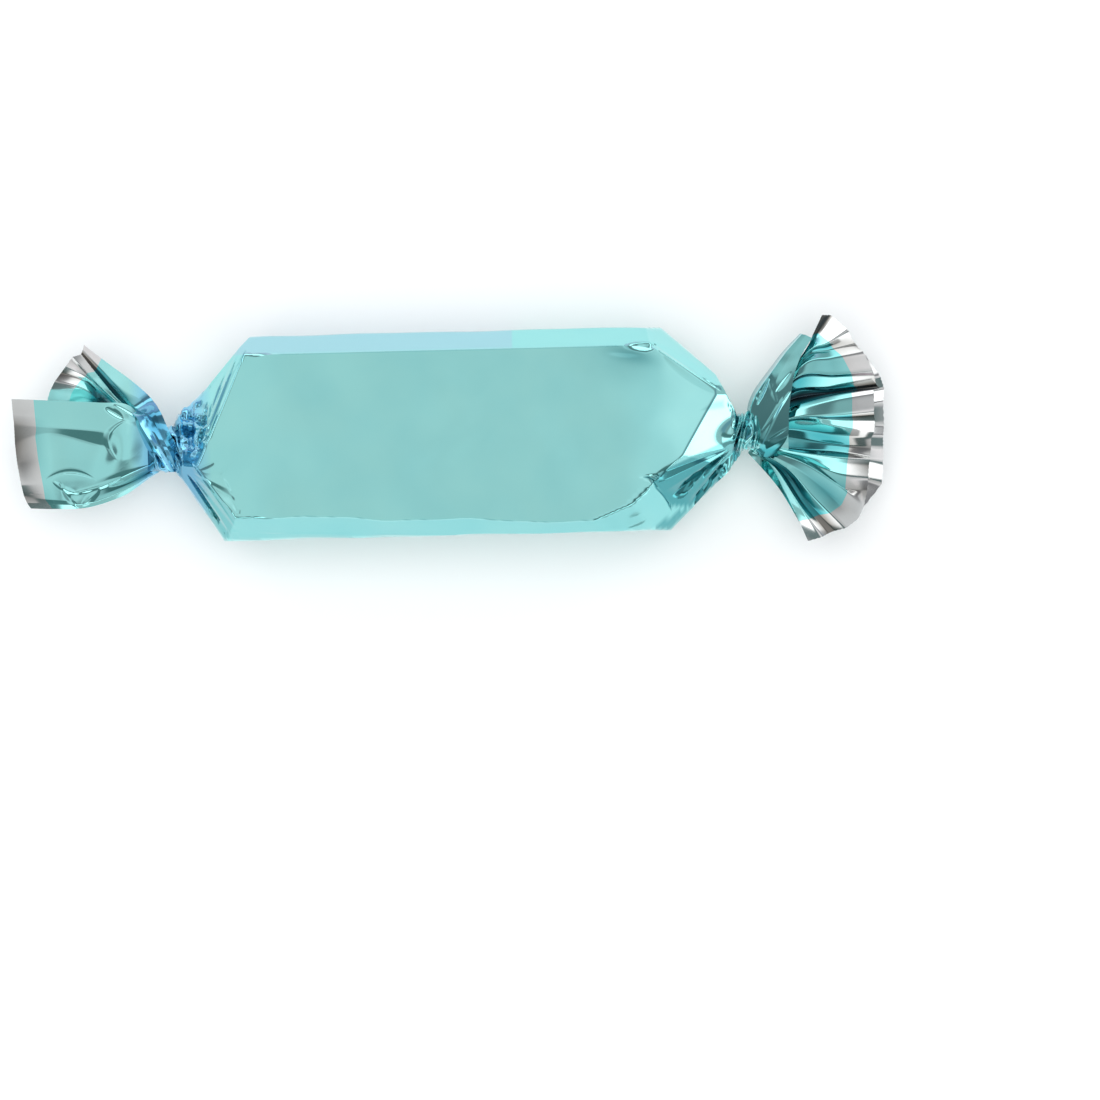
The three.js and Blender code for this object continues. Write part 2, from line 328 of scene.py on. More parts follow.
def add_sheet(name, grid, materials, silver_rows=0, dark=0):
    """A thin closed sheet of film, painted darker as shade deep in its folds. Its last rows take the second
    material.
    """
    rows, columns = grid.shape[:2]
    # painted shade: the further a point lies below the highest point near it, the darker it is painted
    below = highest_near(grid[..., 2], FOLD_REACH) - grid[..., 2]
    painted_shade = np.clip(FOLD_SHADE * np.clip(below / FOLD_HEIGHT, 0, 1) ** 2 + dark, 0, 2)
    across = np.cross(grid[1:, :-1] - grid[:-1, :-1], grid[:-1, 1:] - grid[:-1, :-1])
    if across[..., 2].mean() < 0:
        grid, painted_shade = grid[:, ::-1], painted_shade[:, ::-1]
    side = np.arange(rows - 1) >= rows - 1 - silver_rows
    face = np.repeat(side, columns - 1)
    end = np.full(columns - 1, silver_rows > 0)
    slots = np.concatenate([face, face, side, side, end, np.zeros(columns - 1, bool)])
    half = np.array([0, 0, FILM / 2])
    vertices = np.concatenate([(grid + half).reshape(-1, 3), (grid - half).reshape(-1, 3)])
    quads = np.concatenate(sheet_quads(rows, columns))
    return add_mesh(name, vertices, quads, materials, slots, np.tile(painted_shade.ravel(), 2))


def add_loft(name, rings, painted_shade, materials, sharp_columns):
    """A closed body through rings of equally many points, with sharp edges along some columns."""
    count, around = rings.shape[:2]
    index = np.arange(count * around).reshape(count, around)
    beside = np.roll(index, -1, axis=1)
    sides = quads_between(index[:-1], beside[:-1], beside[1:], index[1:])
    middles = np.stack([rings[0].mean(axis=0), rings[-1].mean(axis=0)])
    vertices = np.concatenate([rings.reshape(-1, 3), middles])
    first, last = count * around, count * around + 1
    caps = []
    for j in range(0, around - 1, 2):
        caps.append([first, index[0, (j + 2) % around], index[0, j + 1], index[0, j]])
        caps.append([last, index[-1, j], index[-1, j + 1], index[-1, (j + 2) % around]])
    # the painted shade, with none at the caps' two middle points
    painted_shade = np.concatenate([painted_shade.ravel(), [0, 0]])
    thing = add_mesh(name, vertices, np.concatenate([sides, np.array(caps)]), materials, painted_shade=painted_shade)
    sharpen_columns(thing, around, sharp_columns)
    return thing


def sharpen_columns(thing, around, sharp_columns):
    """Marks a loft's edges along some of its columns as sharp."""
    ends = np.empty(2 * len(thing.data.edges), np.int32)
    thing.data.edges.foreach_get("vertices", ends)
    columns = ends.reshape(-1, 2) % around
    along = (columns[:, 0] == columns[:, 1]) & np.isin(columns[:, 0], sharp_columns)
    sharp = thing.data.attributes["sharp_edge"].data
    marked = np.empty(len(sharp), bool)
    sharp.foreach_get("value", marked)
    sharp.foreach_set("value", marked | along)


# ---- materials


def new_material(name):
    """A material, its node tree and its shader."""
    material = bpy.data.materials.new(name)
    material.use_nodes = True
    tree = material.node_tree
    shader = next(n for n in tree.nodes if n.type == "BSDF_PRINCIPLED")
    return material, tree, shader


def node(tree, kind, output, inputs, **settings):
    """Adds a node, with its inputs linked or set, and gives one of its outputs."""
    made = tree.nodes.new("ShaderNode" + kind)
    for name, value in settings.items():
        setattr(made, name, value)
    for name, value in inputs.items():
        if isinstance(value, bpy.types.NodeSocket):
            tree.links.new(value, made.inputs[name])
        else:
            made.inputs[name].default_value = value
    return made.outputs[output]


def noise(tree, scale, detail):
    """Noise with so many patches a metre."""
    where = node(tree, "TexCoord", "Object", {})
    return node(tree, "TexNoise", "Fac", {"Vector": where, "Scale": scale, "Detail": detail})


def spread(tree, source, low, high, to_low=0, to_high=1):
    """Maps a value from one range to another."""
    ranges = {"From Min": low, "From Max": high, "To Min": to_low, "To Max": to_high}
    return node(tree, "MapRange", "Result", {"Value": source, **ranges})


def mix_colours(tree, factor, first, second):
    """The first colour where the factor is 0, the second where it is 1."""
    first, second = [c if isinstance(c, bpy.types.NodeSocket) else (*c, 1) for c in (first, second)]
    return node(tree, "Mix", 2, {"Factor": factor, 6: first, 7: second}, data_type="RGBA")


def multiply(tree, first, second):
    """The product of two values."""
    return node(tree, "Math", 0, {0: first, 1: second}, operation="MULTIPLY")


# painted shade: the black at the bottom of the deepest folds
SHADOW = (0.004, 0.03, 0.045)
# a painted blue reflection about the left twist, and the blue-tinted painted shade in that twist's folds
BLUE_REFLECTION = (0.22, 0.62, 0.86)
BLUE_FOLD_SHADE = (0.012, 0.2, 0.34)
BAND_REFLECTION_AREA = [
    # the far band's left half, where a paler painted reflection lies: axis, start and end of the change in
    # millimetres, and values before and after
    ("Y", EDGE + 0.2, EDGE + 0.5, 0, 1),
    ("X", 6.7, 6.9, 1, 0),
]
# where the painted blue reflection lies about the left twist: axis, start and end of the change in
# millimetres, and values before and after
BLUE_REFLECTION_AREA = [("X", -26.8, -24.8, 1, 0), ("X", -33.6, -31.8, 0, 1)]
STRETCH_MARKS = (160, 3)  # patches a metre, and detail
HAZE = (900, 4)
WRINKLES = (700, 2)
WRINKLE_HEIGHT = 0.02
WRINKLE_STRENGTH = 0.12
COAT_ROUGHNESS = 0.04


def part_mask(tree, changes):
    """One where both changes along the part's axes have reached one."""
    where = node(tree, "TexCoord", "Object", {})
    masks = []
    for axis, start, end, before, after in changes:
        along = node(tree, "SeparateXYZ", axis, {0: where})
        masks.append(spread(tree, along, start * MM, end * MM, before, after))
    return multiply(tree, *masks)


def film_colour(tree, colour, deeper, fold_shade, band_reflection):
    """The film's colour: stretch marks, a paler painted reflection on the far band, a painted blue reflection
    about one twist, and painted shade in folds.
    """
    tint = mix_colours(tree, spread(tree, noise(tree, *STRETCH_MARKS), 0.35, 0.65), colour, deeper)
    if band_reflection is not None:
        # a paler painted reflection on the far band's left half
        tint = mix_colours(tree, part_mask(tree, BAND_REFLECTION_AREA), tint, band_reflection)
        # a painted blue reflection about the left twist, and blue-tinted painted shade in its folds
        twist = part_mask(tree, BLUE_REFLECTION_AREA)
        tint = mix_colours(tree, twist, tint, BLUE_REFLECTION)
        fold_shade = mix_colours(tree, twist, fold_shade, BLUE_FOLD_SHADE)
    # painted shade: the colour goes to the fold colour and then to black where the stored shade rises
    painted_shade = node(tree, "Attribute", "Fac", {}, attribute_name="painted_shade")
    tint = mix_colours(tree, spread(tree, painted_shade, 0, 1), tint, fold_shade)
    return mix_colours(tree, spread(tree, painted_shade, 1, 2), tint, SHADOW)


def film_material(name, colour, deeper, fold_shade, roughness, coat, band_reflection=None):
    """Metallised film: a mirror with a clear coat, whose gloss is a little uneven."""
    material, tree, shader = new_material(name)
    shader.inputs["Metallic"].default_value = 1.0
    shader.inputs["Coat Weight"].default_value = coat
    shader.inputs["Coat Roughness"].default_value = COAT_ROUGHNESS
    haze = spread(tree, noise(tree, *HAZE), 0.3, 0.7, roughness * 0.8, roughness * 1.3)
    height = noise(tree, *WRINKLES)
    wrinkles = {"Height": height, "Strength": WRINKLE_STRENGTH, "Distance": WRINKLE_HEIGHT * MM}
    tree.links.new(film_colour(tree, colour, deeper, fold_shade, band_reflection), shader.inputs["Base Color"])
    tree.links.new(haze, shader.inputs["Roughness"])
    tree.links.new(node(tree, "Bump", "Normal", wrinkles), shader.inputs["Normal"])
    return material


# the teal film: its colour in folds is painted shade, and its band colour a paler painted reflection
TEAL = film_material(
    "teal_film",
    colour=(0.357, 0.815, 0.797),
    deeper=(0.33, 0.79, 0.785),
    fold_shade=(0.015, 0.265, 0.3),
    roughness=0.09,
    coat=0.8,
    band_reflection=(0.4, 0.71, 0.79),
)
# the silver film: its colour in folds is painted shade
SILVER = film_material(
    "silver_film",
    colour=(0.81, 0.84, 0.84),
    deeper=(0.69, 0.71, 0.71),
    fold_shade=(0.24, 0.23, 0.21),
    roughness=0.12,
    coat=0.3,
)
FOIL = [TEAL, SILVER]


# ---- the wrapped bar


BODY_CENTRE = np.array([0, 0, THICKNESS / 2])


def facet(a, b, c, painted_tone=0.0):
    """The plane through three fold corners: outward normal, distance from zero and the painted shade on it.
    """
    a, b, c = np.array(a, float), np.array(b, float), np.array(c, float)
    normal = np.cross(b - a, c - a)
    normal /= np.linalg.norm(normal)
    if normal @ (BODY_CENTRE - a) > 0:
        normal = -normal
    return normal, normal @ a, painted_tone


def along_bar(y, z, next_y, next_z, painted_tone=0.0):
    """A facet along the bar, through two points of its cross-section."""
    return facet((0, y, z), (1, y, z), (0, next_y, next_z), painted_tone)


def upright(x, y, next_x, next_y):
    """An upright facet through two points seen from above."""
    return facet((x, y, 0), (next_x, next_y, 0), (x, y, 1))


def across_bar(x, z, next_x, next_z):
    """A facet across the bar, through two points seen from the side."""
    return facet((x, 0, z), (x, 1, z), (next_x, 0, next_z))


NEAR_EDGE = [(-22.7, -8.2), (14.7, -9.6)]  # the front face's edge on the near side
# Each facet's last number is painted shade laid over it: on both bands and most shoulder slopes.
FACETS = [
    along_bar(0, THICKNESS, 1, THICKNESS),  # front face
    along_bar(0, 0, 1, 0),  # back face
    along_bar(EDGE, THICKNESS, HALF_WIDTH, SHOULDER_TOP, 0.22),  # far band
    facet((*NEAR_EDGE[0], THICKNESS), (*NEAR_EDGE[1], THICKNESS), (0, -HALF_WIDTH, SHOULDER_TOP), 0.38),
    along_bar(EDGE, 0, HALF_WIDTH, BAND_DROP),
    along_bar(-EDGE, 0, -HALF_WIDTH, BAND_DROP),
    along_bar(HALF_WIDTH, 0, HALF_WIDTH, 1),  # far side
    along_bar(-HALF_WIDTH, 0, -HALF_WIDTH, 1),  # near side
    # left shoulder: upper and lower slope, outlines, the ends and the slopes of the back
    facet((-BAR_END, 8.6, THICKNESS), (-26.7, -2.9, 11.4), (-25.8, 6.6, 8), 0.25),
    facet((-26.7, -2.9, 11.4), (-22.7, -8.2, THICKNESS), (-24.9, -9.5, 8), 0.6),
    upright(-21, 10.6, -27.4, 3.5),
    upright(-28.8, -3.4, -24.7, -9.9),
    across_bar(-26.7, 11.4, -29.2, 9.2),
    across_bar(-BAR_END, 0, -28.8, 4.6),
    facet((-20.4, 8.6, 0), (-26.4, 0, 3.2), (-25.8, 6.6, 4.4)),
    facet((-20.4, -8.4, 0), (-26.4, -2, 3.2), (-24.9, -9.5, 4.2)),
    # right shoulder: an upper slope and three lower ones, and the rest as on the left
    facet((BAR_END, 8.2, THICKNESS), (28.1, 4.2, 11), (24.7, 8.8, 8), 0.18),
    facet((26, 0.9, 11.6), (21.4, -7.2, THICKNESS), (26.8, -6.6, 7.6)),
    facet((15.2, -9.3, THICKNESS), (20.4, -7.2, THICKNESS), (22.5, -10.6, 7.6), 0.35),
    facet((22.9, -3.8, 11.8), (29.3, -1.3, 8.8), (25.75, -7.7, 6.5), 0.3),
    upright(22, 10.7, 28.2, 5),
    upright(27.3, 6.2, 28.7, 3.4),
    upright(22.6, -10.7, 30.5, -2.6),
    across_bar(27.7, 11.2, 30, 9.2),
    across_bar(BAR_END, 0, 29.7, 4.6),
    facet((20.4, 8.6, 0), (26.4, 0, 3.2), (24.9, 8.4, 4.4)),
    facet((20.4, -8.4, 0), (26.4, -2, 3.2), (25.4, -8.6, 4.2)),
]
NORMALS = np.array([normal for normal, _, _ in FACETS])
OFFSETS = np.array([offset for _, offset, _ in FACETS])
FACET_SHADES = np.array([painted_tone for _, _, painted_tone in FACETS])

RING_STEPS = [128, 22, 12, 4, 16, 4, 12, 14]  # steps round a cross-section, along each of its sides
STATIONS = [
    # cross-sections along the axis: from, to and step, closer where the film folds
    (-33.6, -28.5, 0.05), (-28.5, -20.5, 0.1), (-20.5, 20.5, 0.6), (20.5, 29.5, 0.1), (29.5, 35.2, 0.05),
]


def reach(centre, directions):
    """How far the film reaches from a point on the axis, and the painted shade of its nearest facet there."""
    sharpness = FOLD_SHARPNESS * BAR_SHARPER ** (1 - smooth(BAR_END - 1, BAR_END + 1, abs(centre[0])))
    closing = np.clip(directions @ NORMALS.T, 0, None)
    offsets = OFFSETS.copy()
    offsets[0] -= END_CURVE * max(abs(centre[0]) - CURVE_FROM, 0) ** 2
    room = np.maximum(offsets - NORMALS @ centre, LEAST_ROOM)
    nearness = closing / room
    nearest = nearness.max(axis=1)
    distance = ((nearness / nearest[:, None]) ** sharpness).sum(axis=1) ** (-1 / sharpness) / nearest
    return distance, FACET_SHADES[nearness.argmax(axis=1)]


def section_directions(x):
    """Directions round the axis to closely spaced points of the bar's cross-section."""
    start, end = NEAR_EDGE
    near_edge = np.interp(x, [start[0], end[0]], [start[1], end[1]])
    corners = np.array([
        (EDGE, THICKNESS), (near_edge, THICKNESS), (-HALF_WIDTH, SHOULDER_TOP), (-HALF_WIDTH, BAND_DROP),
        (-EDGE, 0), (EDGE, 0), (HALF_WIDTH, BAND_DROP), (HALF_WIDTH, SHOULDER_TOP),
    ])
    found = []
    for here, there, count in zip(corners, np.roll(corners, -1, axis=0), RING_STEPS):
        for k in range(count):
            y, z = here + (there - here) * k / count
            direction = np.array([0, y, z - THICKNESS / 2])
            found.append(direction / np.linalg.norm(direction))
    return np.array(found)


def axis_at(x, knot):
    """The axis at one place along it, and the twist's half width and half depth there."""
    gathered = smooth(BAR_END - GATHER, abs(knot["start"]), abs(x))
    flare = smooth(abs(knot["end"]), abs(knot["tail"]), abs(x))
    height = THICKNESS / 2 + (KNOT_HEIGHT - THICKNESS / 2) * gathered - FLARE_DROP * flare
    half_width = knot["half_width"] + (FLARE_HALF_WIDTH - knot["half_width"]) * flare
    half_depth = KNOT_HALF_DEPTH + (FLARE_HALF_DEPTH - KNOT_HALF_DEPTH) * flare
    return np.array([x, knot["y"] * gathered, height]), half_width, half_depth


# Waves round and along the axis: radians a turn and a millimetre, phase and height.
STRAND_WARP = [(6 * math.pi, 0, 1, 0.035), (10 * math.pi, 2.5, 0, 0.02)]
STRAND_WANDER = (4 * math.pi, 2, 0, 0.25)
STRAND_BEND = (3.1, 0.3)  # radians a millimetre, and how far
GROOVE_WIDTH = 0.495  # just under a half, so that a groove's bottom is rounded
PLEAT_WARP = [(6 * math.pi, 0, 1, 0.012)]
FINE_PLEAT_SHARE = 0.3
FINE_PLEAT_WANDER = [(0, 1.7, 0, 0.3)]


def rope_groove(turn, x, knot):
    """How deep the wound film lies between its strands, from 0 to 1."""
    warped = turn + waves(STRAND_WARP, turn, x)
    rate, bend = STRAND_BEND
    groove = np.zeros(len(turn))
    for (count, pitch), share in zip(knot["strands"], STRAND_SHARES):
        wander = waves([(0, rate, count, bend), STRAND_WANDER], turn, x)
        strand = count * warped + pitch * (x - knot["start"]) + wander
        groove += share * (1 - np.sqrt(1 - GROOVE_WIDTH + GROOVE_WIDTH * np.cos(2 * math.pi * strand)))
    return groove


def underside_pleats(directions, turn, x, knot):
    """How far the underside's pleats stand out, between the bar and the knot."""
    pleat = zigzag(PLEATS * (turn + waves(PLEAT_WARP, turn, x)))
    pleat += FINE_PLEAT_SHARE * zigzag(FINE_PLEATS * turn + waves(FINE_PLEAT_WANDER, turn, x))
    under = 1 - smooth(-0.2, 0.25, directions[:, 2])
    return PLEAT_DEPTH * smooth(BAR_END + 0.5, abs(knot["start"]), abs(x)) * under * pleat


def knot_relief(turn, x, groove):
    """How far the wound film stands out in a knot: strands, and small facets on its upper side."""
    facets = crumple(CRUMPLES_ROUND * turn, x, KNOT_FACET_SIZE, KNOT_SEED)
    return KNOT_CRUMPLE * facets * (1 - np.abs(2 * turn)) ** 0.5 + ROPE_DEPTH * (ROPE_MEAN - groove)


def bunched_film(turn, x):
    """How far the bunched film stands out beside the left twist."""
    along = math.exp(-(((x - BUNCH_AT) / BUNCH_LENGTH) ** 2))
    return BUNCH_HEIGHT * along * np.exp(-(((turn - BUNCH_TURN) / BUNCH_SPREAD) ** 2))


def wave_sides(points, x):
    """Lets the front face's near edge and both long sides wander a little along the bar."""
    y, z = points[:, 1], points[:, 2]
    near_edge = np.exp(-(((y + EDGE) / 1.5) ** 2)) * (z > SHOULDER_TOP)
    y += waves(NEAR_EDGE_WAVES, x, 0) * near_edge * (1 - smooth(BAR_END - 4, BAR_END, abs(x)))
    side = np.exp(-(((np.abs(y) - HALF_WIDTH) / 0.5) ** 2)) * np.sin(math.pi * z / THICKNESS)
    y += np.sign(y) * side * waves(SIDE_WAVES, x, z)


def ring(x):
    """The film round the axis at one place along it, and the painted shade at each point."""
    directions = section_directions(x)
    turn = np.arctan2(directions[:, 2], directions[:, 1]) / (2 * math.pi)
    knot = LEFT_KNOT if x < 0 else RIGHT_KNOT
    centre, half_width, half_depth = axis_at(x, knot)
    start, end = abs(knot["start"]), abs(knot["end"])
    wound = smooth(start - 0.6, start, abs(x)) * (1 - smooth(end, end + 1, abs(x)))
    film, painted_tone = reach(centre, directions)
    neck = 1 / np.hypot(directions[:, 1] / half_width, directions[:, 2] / half_depth)
    groove = rope_groove(turn, x, knot)
    out = (film**NECK_BLEND + neck**NECK_BLEND) ** (1 / NECK_BLEND)
    out += (1 - wound) * underside_pleats(directions, turn, x, knot)
    out += wound * knot_relief(turn, x, groove) + bunched_film(turn, x)
    points = centre + directions * out[:, None]
    points[:, 2] = np.maximum(points[:, 2], 0)
    wave_sides(points, x)
    points[:, :2] += MIDDLE
    return points, (1 - wound) * painted_tone + wound * (GROOVE_SHADE * groove + knot["painted_tone"])


LEFT_FOLDS_FROM = (187, 470)
LEFT_FOLDS = [
    # folds that run from the left twist to the lower corner: far end, and height
    (236, 462, 0), (222, 474, -0.02), (232, 490, 0.1), (236, 500, -0.05), (238, 514, 0.08), (234, 528, -0.12),
    (229, 538, 0.15), (221, 527, -0.08), (212, 511, 0.04), (203, 496, 0),
]
RIGHT_FOLDS_FROM = (737, 445)
RIGHT_FOLDS = [
    # folds that run from the right twist to the lower corner
    (668, 462, 0), (650, 477, -0.14), (655, 485, 0.12), (664, 492, 0.14), (670, 497, -0.32), (676, 501, 0.15),
    (684, 505, 0.25), (690, 507, -0.35), (698, 508, 0.2), (706, 505, -0.25), (712, 499, 0.15), (718, 488, 0),
]
FACE_DENT = ((460, 440), 4.0, 1.2, 40, -0.05)
BODY_CREASES = [
    # start, end, width, height, and the width on the right where it differs: front face
    ((629, 345.8), (657, 345.0), 0.3, -0.36, 0.72),
    ((612, 352), (640, 354), 0.5, -0.04),
    ((238, 356), (206, 442), 0.35, -0.07),
    ((652, 343), (722, 391), 0.85, -0.22, 0.2),
    ((664, 355), (716, 392), 0.7, 0.07),
    ((240, 508), (238, 516), 0.15, -0.04),
    # left shoulder
    ((196, 470), (214, 463), 0.35, -0.07),
    ((175, 404), (187, 440), 0.3, -0.35, 0.5),
    ((191, 398), (191, 446), 0.25, -0.4, 0.5),
    ((206, 402), (196, 452), 0.5, -0.35, 0.25),
    ((178, 418), (208, 424), 0.3, -0.25),
    ((186, 474), (231, 540), 0.35, -0.55, 0.25),
    ((190, 462), (236, 528), 0.25, 0.2, 0.5),
    ((240, 346), (208, 390), 0.9, -0.2),
    ((238, 350), (203, 438), 0.35, 0.16, 0.3),
    ((226, 372), (212, 410), 0.2, -0.2, 0.3),
    # right shoulder
    ((645, 476), (661, 476), 0.2, -0.16),
    ((649, 477), (657, 488), 0.25, -0.14, 0.15),
    ((656, 487), (672, 508), 0.25, -0.16, 0.15),
    ((684, 498), (707, 469), 0.6, 0.28, 0.2),
]
SHOULDER_CRUMPLES = [
    # middle, half length, half width, size of a facet, height and seed
    ((190, 424), 1.7, 3.0, 1.7, 0.9, 21),
    ((190, 424), 1.7, 3.0, 0.7, 0.1, 33),
    ((233, 535), 0.7, 0.6, 0.6, 0.15, 2),
    ((733, 406), 0.4, 0.7, 0.7, 0.1, 12),
    ((678, 518), 1.6, 0.5, 0.7, 0.14, 4),
]


def fold_body(relief):
    """The front face's waves and dent, the folds into the twists, and all creases."""
    x, y = relief.grid[..., 0], relief.grid[..., 1]
    flat = relief.where * (1 - smooth(20, 26, np.abs(x)))
    relief.grid[..., 2] += flat * waves(FACE_WAVES, x, y)
    relief.dent(*FACE_DENT)
    relief.radial_folds(LEFT_FOLDS_FROM, LEFT_FOLDS, 0.9)
    relief.radial_folds(RIGHT_FOLDS_FROM, RIGHT_FOLDS, 0.85)
    for crease in BODY_CREASES:
        relief.crease(*crease)
    for patch in SHOULDER_CRUMPLES:
        relief.crumple(*patch)


# a painted dark reflection on the front face, in soft patches
DARK_REFLECTION_AT = (634, 355)
DARK_REFLECTION_SLANT = 0.25
DARK_REFLECTION_PATCHES = [
    # shift and half length along, shift and half width across, and how dark the painted reflection is
    (0, 2.6, 0, 0.9, 0.5),
    (1.5, 4.5, 1.2, 2.2, 0.22),
]
GATHERED_CORNER = [
    (671, 465), (650, 477), (655, 487), (671, 507), (690, 508), (712, 500), (742, 452), (737, 434),
]
CRUMPLED_EDGE = [(655, 531), (676, 531), (703, 512), (706, 503), (676, 511), (655, 527)]
RIGHT_PATCH = [(696, 412), (712, 412), (727, 409), (726, 397), (712, 400)]
TORN_EDGE = [(647, 477), (653, 480), (656, 488), (664, 496), (671, 507)]
LEFT_EDGE = [(246, 351), (234, 372), (224, 395), (214, 418), (206, 442), (200, 458)]
DARK_PATCHES = [
    # patches of painted shade: outline, anticlockwise as seen, its height, how dark it is painted, and how
    # soft its edge is
    (GATHERED_CORNER, 9.5, 0.6, 0.3),
    (CRUMPLED_EDGE, 6, 0.5, 0.12),
    (RIGHT_PATCH, 11, 0.4, 0.5),
]
DARK_LINES = [
    # lines of painted shade: points, their height, and how dark it is painted
    (TORN_EDGE, 10, 1.4),
    (LEFT_EDGE, 11, 0.6),
]
DARK_LINE_WIDTH = 0.17


def painted_dark_reflection(rings):
    """A soft painted dark reflection on the front face beside its upper right corner."""
    offset = rings[..., :2] - place(*DARK_REFLECTION_AT, THICKNESS)[:2]
    turned = offset[..., 1] + DARK_REFLECTION_SLANT * offset[..., 0]
    total = np.zeros(turned.shape)
    for shift_along, length, shift_across, width, painted_tone in DARK_REFLECTION_PATCHES:
        along = (offset[..., 0] + shift_along) / length
        across = (turned + shift_across) / width
        total += painted_tone * np.exp(-(along**2) - across**2)
    return smooth(THICKNESS - 0.2, THICKNESS - 0.1, rings[..., 2]) * total


def within(rings, corners, level, blur):
    """One inside a convex outline of places, falling to zero at its edge."""
    outline = np.array([place(*corner, level)[:2] for corner in corners])
    ahead = np.roll(outline, -1, axis=0) - outline
    inward = np.stack([-ahead[:, 1], ahead[:, 0]], axis=1) / np.linalg.norm(ahead, axis=1)[:, None]
    depths = [(rings[..., :2] - corner) @ normal for corner, normal in zip(outline, inward)]
    return smooth(0, blur, np.minimum.reduce(depths))


def near_line(rings, start, end, level):
    """One on the line between two places, falling to zero beside it."""
    a, b = place(*start, level)[:2], place(*end, level)[:2]
    offset = rings[..., :2] - a
    share = np.clip(offset @ (b - a) / ((b - a) @ (b - a)), 0, 1)
    distance = np.linalg.norm(offset - share[..., None] * (b - a), axis=-1)
    return 1 - smooth(0, DARK_LINE_WIDTH, distance)


def darken_body(rings, painted_tone, sunk, up):
    """The painted shade on the film: its facets', where it has sunk into folds, the painted dark reflection,
    and the patches and lines.
    """
    deep = np.clip(sunk / DEEPEST, 0, FOLD_SHADE) * smooth(20, 23, np.abs(rings[..., 0]))
    dark = np.maximum(painted_tone, deep) + painted_dark_reflection(rings)
    for corners, level, strength, blur in DARK_PATCHES:
        dark += strength * up * within(rings, corners, level, blur)
    for points, level, strength in DARK_LINES:
        for start, end in zip(points[:-1], points[1:]):
            dark = np.maximum(dark, strength * up * near_line(rings, start, end, level))
    return dark


def add_body():
    """The wrapped bar with both knots."""
    made = [ring(x) for x in np.concatenate([np.arange(*run) for run in STATIONS])]
    rings = np.array([points for points, _ in made])
    painted_tone = np.array([dark for _, dark in made])
    up = smooth(THICKNESS / 2 - 1.5, THICKNESS / 2 + 1, rings[..., 2])
    before = rings[..., 2].copy()
    fold_body(Relief(rings, THICKNESS - 0.5, up))
    # painted shade over the bar: its facets, its sunken folds, and the painted patches, lines and dark
    # reflection
    dark = darken_body(rings, painted_tone, before - rings[..., 2], up)
    return add_loft("wrapped_bar", rings, dark, [TEAL], sharp_columns=(0, RING_STEPS[0]))


# ---- the tails


def sheet_from_folds(folds, rows, columns_per_fold, rounding, margin=MARGIN):
    """A pleated sheet through its folds: points, the painted shade at each, and how many last rows are
    silver.
    """
    control = np.stack([fold_points(fold) for fold in folds], axis=1)
    columns = np.linspace(0, 1, columns_per_fold * (len(folds) - 1) + 1)
    across = straight(control.transpose(1, 0, 2), columns).transpose(1, 0, 2)
    silver_rows = round(rows * SILVER_ROWS)
    grid = np.empty((rows + 1, len(columns), 4))
    for j in range(len(columns)):
        _, length = along_curve(across[:, j], np.zeros(1))
        share = margin / length
        body = np.linspace(0, 1 - share, rows - silver_rows + 1)
        end = np.linspace(1 - share, 1, silver_rows + 1)[1:]
        grid[:, j], _ = along_curve(across[:, j], np.concatenate([body, end]))
    grid = soften(grid, rounding)
    ragged = RAGGED * zigzag(np.arange(len(columns)) / RAGGED_COLUMNS)
    grid[-1] += (grid[-1] - grid[-2]) * ragged[:, None]
    return grid[..., :3].copy(), grid[..., 3].copy(), silver_rows


